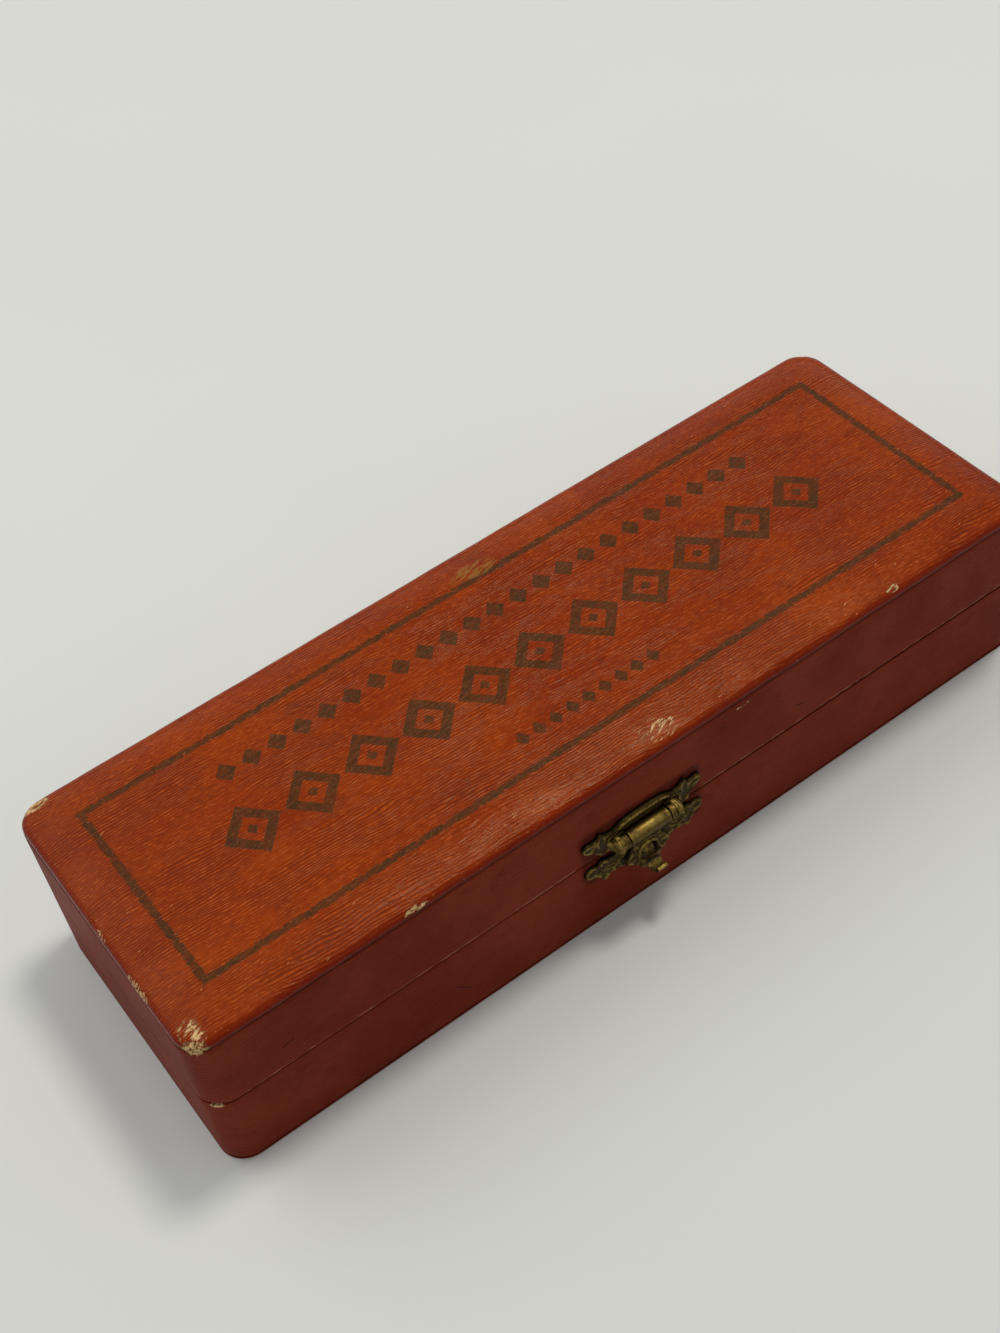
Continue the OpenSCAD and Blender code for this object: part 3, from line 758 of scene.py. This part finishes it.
# The latch, in millimetres from its pin: x to the right, height up, depth in front of the case
latch = {
    "sheet": 0.5, "leastSheet": 0.12, "cell": 0.15, "edgeStep": 0.04, "edgeSoft": 0.24,
    "edgeDrop": 0.17, "rim": 0.42, "sunk": 0.15, "stand": 0.36, "shadedFoot": -0.7, "unshadedFoot": 0.1,
    "haspBack": 0.85, "haspTop": -0.75, "haspDrop": 8.8, "slotHalf": 1.5,
    "barrelHalf": 3.85, "barrelRadius": 1.3, "boreRadius": 0.62, "knuckle": 1.7, "gap": 0.15,
    "notchTop": 1.05, "bossDrop": 6.0, "bossRadius": 1.2, "bossDepth": 0.68,
    "nailSide": 10.5, "upperNail": 1.9, "lowerNail": -4.4,
}


def onLatch(x, height, depth):  # a place on the latch, in metres
    return Vector((latchX + x * mm, -halfWidth - depth * mm, latchZ + height * mm))


def smoothed(points, times):  # rounds an open outline by cutting its corners
    for _ in range(times):
        cut = [points[0]]
        for (ax, ay), (bx, by) in zip(points, points[1:]):
            for share in (0.25, 0.75):
                cut.append((ax * (1 - share) + bx * share, ay * (1 - share) + by * share))
        points = cut + [points[-1]]
    return points


def bothSides(half):  # half of an outline, which starts or ends in the middle, and its mirror image
    return half + [(-x, y) for x, y in reversed(half) if abs(x) > 0.001]


def step(value, low, high):
    part = max(0, min(1, (value - low) / (high - low)))
    return part * part * (3 - 2 * part)


def ridge(distance, half):  # a soft bump across a line, 1 on it and 0 from half on
    part = min(1, abs(distance) / half)
    return (1 - part * part) ** 2


def rays(x, y, middle, count):  # ridges that spread from a place
    return 0.5 + 0.5 * math.cos(count * math.atan2(y - middle[1], x - middle[0]))


def startBrass():  # the layer comes first, because adding it later loses hold of the points
    bm = bmesh.new()
    bm.verts.layers.float.new("raised")
    return bm


def newVerts(bm, before):
    return [v for v in bm.verts if v not in before]


def markRaised(bm, verts, amount):
    layer = bm.verts.layers.float["raised"]
    for v in verts:
        v[layer] = amount


# A stamped sheet: a fine grid cut to an outline, with the relief pressed into it. Its foot is
# marked below zero, for painted shade in the corner that it makes with the case
def stampedSheet(bm, outline, back, relief, lift, foot):
    flat = bmesh.new()
    flat.faces.new([flat.verts.new((x, y, 0)) for x, y in outline])
    bmesh.ops.triangulate(flat, faces=flat.faces[:])
    inside = BVHTree.FromBMesh(flat)
    flat.free()
    spots = []
    for (ax, ay), (bx, by) in zip(outline, outline[1:] + outline[:1]):
        count = max(1, round(math.hypot(bx - ax, by - ay) / latch["edgeStep"]))
        for i in range(count):
            spots.append((ax + (bx - ax) * i / count, ay + (by - ay) * i / count, 0))
    edgePlaces = KDTree(len(spots))
    for i, spot in enumerate(spots):
        edgePlaces.insert(spot, i)
    edgePlaces.balance()

    cell = latch["cell"]
    reachX = max(abs(x) for x, y in outline) + cell
    low, high = min(y for x, y in outline) - cell, max(y for x, y in outline) + cell
    columns, rows = round(2 * reachX / cell), round((high - low) / cell)
    before = set(bm.verts)
    bmesh.ops.create_grid(bm, x_segments=columns, y_segments=rows, size=1)
    made = newVerts(bm, before)
    for v in made:
        v.co = (v.co.x * reachX, low + (v.co.y + 1) / 2 * (high - low), 0)
    outside = [v for v in made if inside.find_nearest(v.co)[3] > cell * 0.4]
    bmesh.ops.delete(bm, geom=outside, context="VERTS")
    loose = [v for v in newVerts(bm, before) if not v.link_faces]
    bmesh.ops.delete(bm, geom=loose, context="VERTS")
    made = newVerts(bm, before)
    for v in made:
        if v.is_boundary:
            v.co = edgePlaces.find(v.co)[0]
    faces = list({f for v in made for f in v.link_faces})
    lifted = bmesh.ops.extrude_face_region(bm, geom=faces, use_keep_orig=True)["geom"]
    markRaised(bm, made, foot)
    for v in made:
        v.co = onLatch(v.co.x, v.co.y, back)
    layer = bm.verts.layers.float["raised"]
    for v in vertsOf(lifted):
        x, y = v.co.x, v.co.y
        edge = edgePlaces.find((x, y, 0))[2]
        rolled = 1 - step(edge, -0.02, latch["edgeSoft"])
        height = latch["sheet"] - latch["edgeDrop"] * rolled ** 2
        height -= latch["sunk"] * step(edge, latch["rim"] * 0.7, latch["rim"] + 0.3)
        height += relief(x, y) * step(edge, 0, 0.3)
        v[layer] = max(0, min(1, (height - 0.33) / 0.3))
        v.co = onLatch(x, y, back + max(latch["leastSheet"], height + lift(x, y)))


# A turned part round the latch's pin: places along it with their radii
def turnedBarrel(bm, profile, bore, polishAndHighlight):
    before = set(bm.verts)
    path = profile + [(profile[-1][0], bore), (profile[0][0], bore)]
    centre = Vector((latchX, latchY, latchZ))
    verts = [bm.verts.new(centre + Vector((x * mm, 0, r * mm))) for x, r in path]
    edges = [bm.edges.new(pair) for pair in zip(verts, verts[1:] + verts[:1])]
    bmesh.ops.spin(bm, geom=verts + edges, cent=centre, axis=(1, 0, 0),
                   angle=math.radians(360), steps=40, use_merge=True)
    markRaised(bm, newVerts(bm, before), polishAndHighlight)


def block(bm, low, high):
    a, b = onLatch(*low), onLatch(*high)
    made = bmesh.ops.create_cube(bm, size=1)["verts"]
    size = [abs(q - p) for p, q in zip(a, b)]
    place = Matrix.Translation((a + b) / 2) @ Matrix.Diagonal((*size, 1))
    bmesh.ops.transform(bm, matrix=place, verts=made)
    edges = list({e for v in made for e in v.link_edges})
    bmesh.ops.bevel(bm, geom=edges, offset=0.09 * mm, segments=2, affect="EDGES",
                    profile=0.5, material=-1)


# The wings, and all from a height up, stand off the case, but not the nails
def wingLift(nailHeight, archFrom):
    def lift(x, y):
        nail = math.hypot(abs(x) - latch["nailSide"], y - nailHeight)
        wing = step(abs(x), 4.9, 6.2) * step(nail, 1.1, 1.9)
        return latch["stand"] * max(wing, step(y, archFrom, archFrom + 0.6))
    return lift


def nailRelief(x, y, nailHeight):  # a low head in a ring
    nail = math.hypot(x - latch["nailSide"], y - nailHeight)
    return 0.15 * step(nail, 1.1, 0.85) + 0.16 * ridge(nail - 1.2, 0.32)


def upperRelief(x, y):
    x = abs(x)
    height = nailRelief(x, y, latch["upperNail"])
    around = latch["barrelRadius"] * 0.97 - 0.35 * step(x, 5.6, 7.2)
    if abs(y) < around and x > 5.0:
        rolled = latch["barrelRadius"] + 0.35 - latch["sheet"] + math.sqrt(around * around - y * y)
        height += rolled * step(x, 7.4, 5.9)
    leaf = step(x, 6.9, 7.5) * step(x, 9.7, 9.2) * step(y, 0.4, 1.6)
    height += 0.2 * leaf * rays(x, y, (8.15, -1.2), 14)
    scroll = math.hypot(x - 6.1, y - 0.7)
    height += 0.2 * ridge(scroll - 1.0, 0.42) + 0.18 * ridge(scroll, 0.5)
    height += 0.17 * ridge(x - 8.6 - 0.3 * y, 0.4) * step(y, 0.6, -0.2)
    arch = y - 3.2 + 0.012 * x * x
    height += 0.3 * ridge(arch, 0.52) * step(x, 5.2, 4.6)
    height += 0.16 * ridge(y - 2.05, 0.24) * step(x, 4.6, 4.1)
    height += 0.13 * abs(math.cos(x * 2.4)) * ridge(y - 2.65, 0.36) * step(x, 4.4, 3.9)
    height += 0.2 * ridge(x - 4.9 - 0.15 * math.sin(y * 2), 0.5) * step(y, 3.3, 2.4)
    return height


def lowerRelief(x, y):
    x = abs(x)
    height = nailRelief(x, y, latch["lowerNail"])
    scroll = math.hypot(x - 6.0, y + 1.7)
    arcs = sum(ridge(scroll - r, 0.34) for r in (2.35, 3.1, 3.85))
    height += 0.19 * arcs * step(x, 9.4, 8.6) * step(x, 2.2, 3.2)
    height += 0.17 * step(y, -5.2, -5.9) * step(x, 4.0, 4.6) * rays(x, y, (6.4, -3.0), 16)
    return height


def haspRelief(x, y):
    ring = math.hypot(x, y + latch["bossDrop"])
    height = 0.32 * ridge(ring - latch["slotHalf"] - 0.32, 0.42) * step(y, -7.3, -6.7)
    height += 0.24 * abs(math.cos(x * 2.95)) * ridge(y + 2.55, 0.72) * step(abs(x), 3.0, 2.5)
    height += 0.2 * ridge(y + 1.62, 0.24)
    height += 0.2 * ridge(y + 3.5 + 0.05 * x * x, 0.24) * step(abs(x), 2.8, 2.4)
    shield = step(ring, 2.1, 2.5) * step(y, -3.7, -4.3)
    height += 0.2 * shield * rays(x, y, (0, -latch["bossDrop"]), 13)
    return height


def upperPlate():
    notch = latch["barrelHalf"] + latch["gap"]
    radius = latch["barrelRadius"]
    rim = [
        (0, 3.75), (2.2, 3.72), (4.2, 3.5), (4.9, 3.05), (5.8, 2.6), (6.8, 2.75), (7.5, 3.15),
        (8.15, 3.95), (8.6, 3.2), (8.95, 2.7), (9.6, 2.75), (10.4, 3.05), (11.25, 2.8),
        (11.6, 1.95), (11.35, 1.05), (10.6, 0.55), (9.6, 0.25), (9.1, -0.45), (8.3, -1.15),
        (7.5, -1.1), (6.8, -0.75), (6.2, -1.0), (5.7, -1.15),
    ]
    clear = latch["notchTop"]
    notchEdge = [(notch, -1.15), (notch, clear - 0.15), (notch - 0.15, clear), (0, clear)]
    outline = bothSides(smoothed(rim, 2) + notchEdge)
    lift = wingLift(latch["upperNail"], 2.1)
    bm = startBrass()
    stampedSheet(bm, outline, 0, upperRelief, lift, latch["shadedFoot"])
    bead = [(0, radius - 0.14), (0.14, radius), (0.42, radius), (0.52, radius - 0.12)]
    for side in (-1, 1):
        first, last = sorted((side * notch, side * (notch + latch["knuckle"])))
        profile = [(first + x, r) for x, r in bead] + [(last - x, r) for x, r in reversed(bead)]
        turnedBarrel(bm, profile, latch["boreRadius"], 0.7)
        block(bm, (first, -0.8, 0.05), (last, 1.5, 0.95))
    return bm


def lowerPlate():
    rim = [
        (0, -3.2), (2.5, -3.2), (3.7, -3.0), (4.5, -2.9), (5.2, -3.1), (6.2, -3.15), (7.2, -3.0),
        (7.7, -2.75), (8.3, -2.6), (8.8, -2.9), (9.3, -3.35), (10.3, -3.25), (11.2, -3.5),
        (11.6, -4.3), (11.45, -5.15), (10.8, -5.6), (9.9, -5.65), (9.2, -6.1), (8.7, -6.9),
        (8.2, -7.6), (7.6, -6.9), (6.6, -6.45), (5.6, -6.75), (4.8, -7.5), (3.8, -7.75),
        (2.7, -7.9), (2.3, -8.7), (1.4, -9.5), (0, -9.7),
    ]
    outline = bothSides(smoothed(rim, 2))
    lift = wingLift(latch["lowerNail"], 9)
    bm = startBrass()
    stampedSheet(bm, outline, 0, lowerRelief, lift, latch["shadedFoot"])
    boss = latch["bossRadius"] * mm
    made = bmesh.ops.create_uvsphere(bm, u_segments=32, v_segments=20, radius=boss)["verts"]
    place = Matrix.Translation(onLatch(0, -latch["bossDrop"], latch["bossDepth"]))
    bmesh.ops.transform(bm, matrix=place @ Matrix.Rotation(math.radians(90), 4, "X"), verts=made)
    ball = {g for v in made for g in (v, *v.link_edges, *v.link_faces)}
    cut = bmesh.ops.bisect_plane(bm, geom=list(ball), plane_co=onLatch(0, 0, 0.2),
                                 plane_no=(0, 1, 0), clear_outer=True)
    bmesh.ops.contextual_create(bm, geom=edgesOf(cut["geom_cut"]))
    markRaised(bm, [v for v in made if v.is_valid], 0.7)
    return bm


def haspForm():
    slot, drop, half = latch["slotHalf"], latch["bossDrop"], latch["barrelHalf"]
    side = [
        (half, latch["haspTop"]), (half, -1.6), (3.4, -2.5), (2.8, -3.2), (2.75, -3.8), (3.3, -4.6),
        (3.9, -5.5), (4.3, -6.35), (4.1, -7.0), (3.4, -7.5), (2.8, -8.1), (2.4, -8.7),
        (slot + 0.1, -8.75),
    ]
    turns = [math.radians(a) for a in range(0, 91, 9)]
    arch = [(slot * math.cos(a), slot * math.sin(a) - drop) for a in turns]
    outline = bothSides(smoothed(side, 2) + [(slot, -8.75)] + arch)
    bm = startBrass()
    flat = lambda x, y: 0
    stampedSheet(bm, outline, latch["haspBack"], haspRelief, flat, latch["unshadedFoot"])
    bands = [
        (0, 0.16), (0.12, 0.03), (0.3, 0), (0.48, 0.03), (0.6, 0.15), (0.74, 0.14), (0.9, 0.03),
    ]
    profile = [(x - half, latch["barrelRadius"] - sunk) for x, sunk in bands]
    turnedBarrel(bm, bothSides(profile), latch["boreRadius"], 1.2)
    thumbTab(bm)
    return bm


# The raised lip over the open slot, and the tongue curled out of it for the thumb
thumb = {
    "lip": 1.9, "front": 2.5, "thick": 0.42, "rootHalf": 1.35, "tipHalf": 0.85,
    "curl": [
        (2.2, 0.45), (2.6, 0.2), (3.2, 0.08), (3.9, 0.12), (4.4, 0.4), (4.75, 0.95), (4.85, 1.5),
    ],
}


def band(bm, path, move):  # a strip swept from a path of places, with a thickness
    verts = [bm.verts.new(place) for place in path]
    edges = [bm.edges.new(pair) for pair in zip(verts, verts[1:])]
    swept = bmesh.ops.extrude_edge_only(bm, edges=edges)["geom"]
    bmesh.ops.translate(bm, verts=vertsOf(swept), vec=move)
    return verts + vertsOf(swept)


def thicken(bm, verts, amount):
    faces = list({f for v in verts for f in v.link_faces})
    bmesh.ops.recalc_face_normals(bm, faces=faces)
    made = bmesh.ops.solidify(bm, geom=faces, thickness=thumb["thick"] * mm)["geom"]
    markRaised(bm, verts + vertsOf(made), amount)


def thumbTab(bm):
    low, front = -latch["haspDrop"], thumb["front"] - thumb["thick"]
    left = [(-2.05, 1.0), (-2.0, front - 0.5), (-1.5, front), (-0.7, front), (0, front)]
    arch = bothSides(smoothed(left, 2))
    lip = band(bm, [onLatch(x, low, depth) for x, depth in arch], (0, 0, thumb["lip"] * mm))
    thicken(bm, lip, 0.7)
    curl = smoothed(thumb["curl"], 2)
    path = [onLatch(-1, low + height, depth) for depth, height in curl]
    tongue = band(bm, path, (2 * mm, 0, 0))
    near, far = thumb["curl"][0][0], thumb["curl"][-1][0]
    for v in tongue:
        share = ((-halfWidth - v.co.y) / mm - near) / (far - near)
        half = thumb["rootHalf"] + (thumb["tipHalf"] - thumb["rootHalf"]) * min(1, max(0, share))
        v.co.x = latchX + math.copysign(half * mm, v.co.x - latchX)
    thicken(bm, tongue, 0.8)


makePiece(upperPlate(), "latchUpperPlate", "lid", "aged_brass", ["hasp_plate"])
makePiece(lowerPlate(), "latchLowerPlate", "base", "aged_brass", ["catch_plate"])
makePiece(haspForm(), "latchHasp", "hasp", "aged_brass", ["hasp"])
print("latch made")


# CAD nodes whose shape is right get a finish, and the hinge leaves a softened copy
leaf = {"bevel": 0.07 * mm, "bevelFrom": 60, "raised": 0.3}


def paint(slot, *nodes):
    for node in nodes:
        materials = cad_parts[node].data.materials
        materials.clear()
        materials.append(finishes[slot])


def softLeaf(node, name, body):
    bm = bmesh.new()
    bm.from_mesh(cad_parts[node].data)
    bmesh.ops.remove_doubles(bm, verts=bm.verts, dist=weld)
    bmesh.ops.dissolve_limit(bm, angle_limit=math.radians(1), verts=bm.verts, edges=bm.edges)
    bm.verts.layers.float.new("raised")
    markRaised(bm, bm.verts, leaf["raised"])
    least = math.radians(leaf["bevelFrom"])
    sharp = [e for e in bm.edges if len(e.link_faces) == 2 and e.calc_face_angle(0) > least]
    bmesh.ops.bevel(bm, geom=sharp, offset=leaf["bevel"], segments=2, affect="EDGES",
                    profile=0.5, material=-1, clamp_overlap=True)
    makePiece(bm, name, body, "aged_brass", [node], sharp=35)


for half in ("base", "lid"):
    paint("wood", *[half + "_" + side + "_wall" for side in ("front", "back", "left", "right")])
paint("wood", "bottom_board", "lid_board")
paint("aged_brass", "catch_plate_nails", "hasp_plate_nails", "base_hinge_nails", "lid_hinge_nails")
paint("pin_steel", "hasp_pin", "hinge_pin_left", "hinge_pin_right")
for side in ("left", "right"):
    softLeaf("hinge_base_leaf_" + side, "baseLeaf_" + side, "base")
    softLeaf("hinge_lid_leaf_" + side, "lidLeaf_" + side, "lid")
print("frame painted")


# Floor, light and camera
stage = {
    "floor": ink(226, 227, 222), "floorDark": ink(220, 222, 217), "floorHalf": 6,
    "fadeFrom": 220, "fadeTo": 800, "background": (0.68, 0.68, 0.65, 1.0),
    "worldTint": (0.96, 1.0, 1.03, 1.0), "worldStrength": 0.38,
}
softLights = {
    "keyLight": {"power": 6.2, "size": 0.29, "place": (0.4, 0.07, 1.25), "tint": (1, 0.95, 0.88)},
    "backLight": {"power": 3.4, "size": 0.9, "place": (-0.35, 0.6, 0.95), "tint": (1, 1, 0.98)},
    "fillLight": {"power": 0.25, "size": 1.2, "place": (-0.9, -0.8, 0.5), "tint": (1, 1, 1)},
}
view = {  # angles in degrees, places in millimetres
    "azimuth": -28.711, "elevation": 47.471, "roll": -9.77, "distance": 319.339,
    "target": (-0.068, 12.791, 18.0), "focalPixels": 1922.457, "longSide": 1333, "sensor": 36,
}


def makeFloor():
    finish = Finish("paleFloor", {"Roughness": 0.75})
    where, (x, y, z) = finish.places()
    tone = finish.grains(where, 0.004, 3.0, 0.5).rise(0.3, 0.7)
    finish.plug("Base Color", finish.mix(tone, stage["floor"], stage["floorDark"]))
    away = (x * x + y * y).maths("SQRT").rise(stage["fadeFrom"], stage["fadeTo"])
    plain = finish.add("Emission", {}, {"Color": stage["background"], "Strength": 1.0})
    finish.show(finish.shader, plain, away, "Material Output")
    bm = bmesh.new()
    bmesh.ops.create_grid(bm, x_segments=1, y_segments=1, size=stage["floorHalf"])
    addMesh(bm, "floor", finish.material)


def makeWorld():
    world = bpy.data.worlds.new("softRoom")
    scene.world = world
    graph = Graph(world)
    light = graph.tree.nodes["Background"]
    light.inputs["Color"].default_value = stage["worldTint"]
    light.inputs["Strength"].default_value = stage["worldStrength"]
    plain = graph.add("Background", {}, {"Color": stage["background"]})
    graph.show(light, plain, 1.0, "World Output")


def softLight(name, values):
    lamp = bpy.data.lights.new(name, "AREA")
    lamp.shape = "DISK"
    lamp.size = values["size"]
    lamp.energy = values["power"]
    lamp.color = values["tint"]
    light = addObject(name, lamp)
    light.location = values["place"]
    light.rotation_euler = (-light.location).to_track_quat("-Z", "Y").to_euler()


def makeCamera():
    a, e, r = (math.radians(view[k]) for k in ("azimuth", "elevation", "roll"))
    back = Vector((math.sin(a) * math.cos(e), -math.cos(a) * math.cos(e), math.sin(e)))
    level = Vector((math.cos(a), math.sin(a), 0))
    up = back.cross(level)
    right = math.cos(r) * level + math.sin(r) * up
    top = back.cross(right)
    data = bpy.data.cameras.new("camera")
    data.sensor_width = view["sensor"]
    data.lens = view["focalPixels"] / view["longSide"] * view["sensor"]
    data.clip_start, data.clip_end = 0.01, 50
    camera = addObject("camera", data)
    turn = Matrix((right, top, back)).transposed().to_4x4()
    place = (Vector(view["target"]) + back * view["distance"]) * mm
    camera.matrix_world = Matrix.Translation(place) @ turn
    scene.camera = camera


makeFloor()
makeWorld()
for lightName, lightValues in softLights.items():
    softLight(lightName, lightValues)
makeCamera()
scene.view_settings.view_transform = "Standard"
print("stage made")
